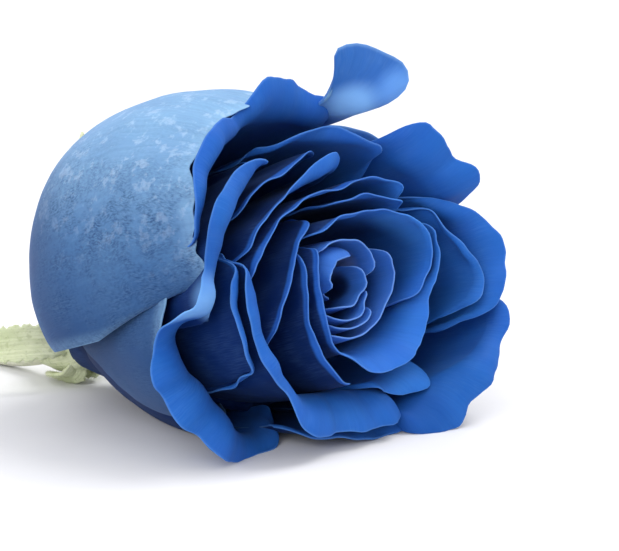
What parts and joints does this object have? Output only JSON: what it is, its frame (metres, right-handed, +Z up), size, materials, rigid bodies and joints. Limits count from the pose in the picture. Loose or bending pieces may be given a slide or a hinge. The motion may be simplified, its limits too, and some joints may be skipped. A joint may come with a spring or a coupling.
{
  "type": "preserved rose",
  "caption": "Open rose head lying on its side, with petals curled outwards in layers round a spiral heart, folded-back sepals and a short cut stem.",
  "frame": {"origin": "middle of the rose's box at its base, on the surface it lies on", "axes": "+X the way the bloom faces, -X along the stem, +Z up off the surface"},
  "size_m": [0.134, 0.0688, 0.0627],
  "materials": {
    "petal": "soft matt dyed petal with fine veins and paler edges",
    "green": "pale dry green, smooth and matt"
  },
  "bodies": {
    "root": {"bloom": "petal", "stem_and_calyx": "green"}
  },
  "joints": []
}
